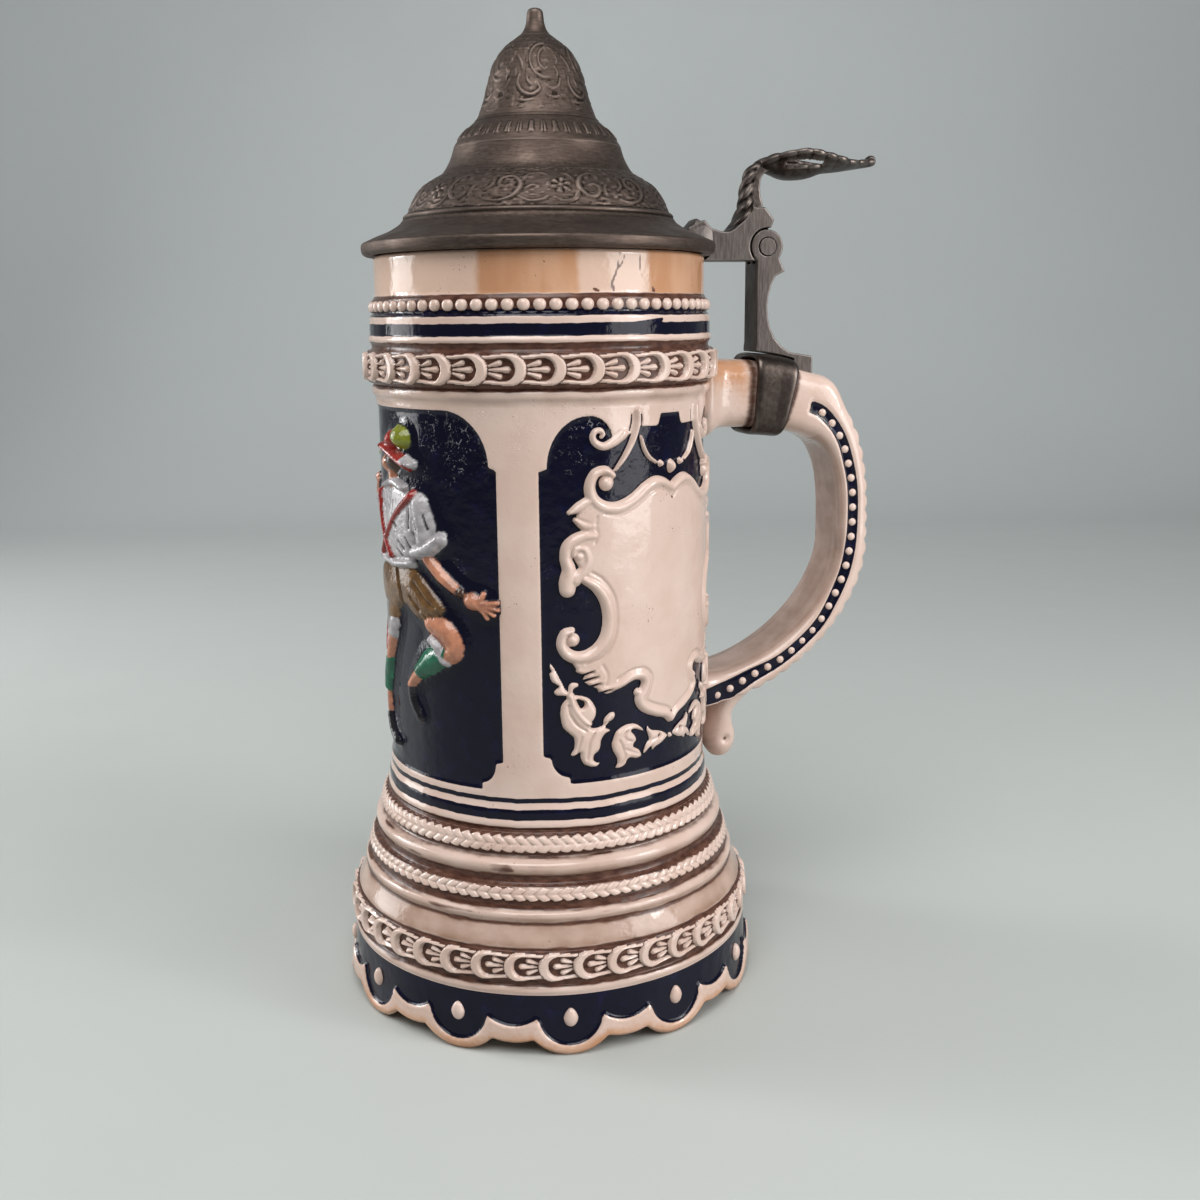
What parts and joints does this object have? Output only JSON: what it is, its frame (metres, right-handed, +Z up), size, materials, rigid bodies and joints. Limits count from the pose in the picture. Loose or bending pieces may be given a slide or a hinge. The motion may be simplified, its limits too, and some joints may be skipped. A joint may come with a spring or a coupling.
{
  "type": "beer stein",
  "caption": "Relief-moulded glazed ceramic beer stein with a loop handle, a flared scalloped foot and a tall pewter lid that a thumb lift swings up on a post hinge.",
  "frame": {"origin": "on the table, under the middle of the whole object's box, so the mug's own axis stands 17.55 mm to -X of it", "axes": "+Z up along the mug's axis, +X from the mug to its handle, +Y along the hinge pin"},
  "size_m": [0.143, 0.108, 0.2429],
  "materials": {
    "glazed_body": "ivory glaze with brown stain in the relief and cobalt blue panels",
    "glazed_handle": "ivory glaze with a dotted cobalt channel on each side",
    "pewter_collar": "dull dark pewter",
    "pewter_hinge": "dull pewter with file marks",
    "pewter_pin": "worn pewter",
    "pewter_lid": "dull dark pewter, cast relief",
    "pewter_lift": "dull dark pewter, cast relief"
  },
  "bodies": {
    "mug": {"mug_body": "glazed_body", "handle": "glazed_handle", "handle_collar": "pewter_collar", "shank": "pewter_hinge", "hinge_pin": "pewter_pin"},
    "lid": {"lid": "pewter_lid", "lid_finial": "pewter_lid", "lid_arm": "pewter_hinge", "thumblift": "pewter_lift"}
  },
  "joints": [
    {"name": "lid_hinge", "type": "hinge", "parent": "mug", "child": "lid", "pos_m": [0.04105, 0, 0.1882], "axis": [0, 1, 0], "range_deg": [0, 95]}
  ]
}
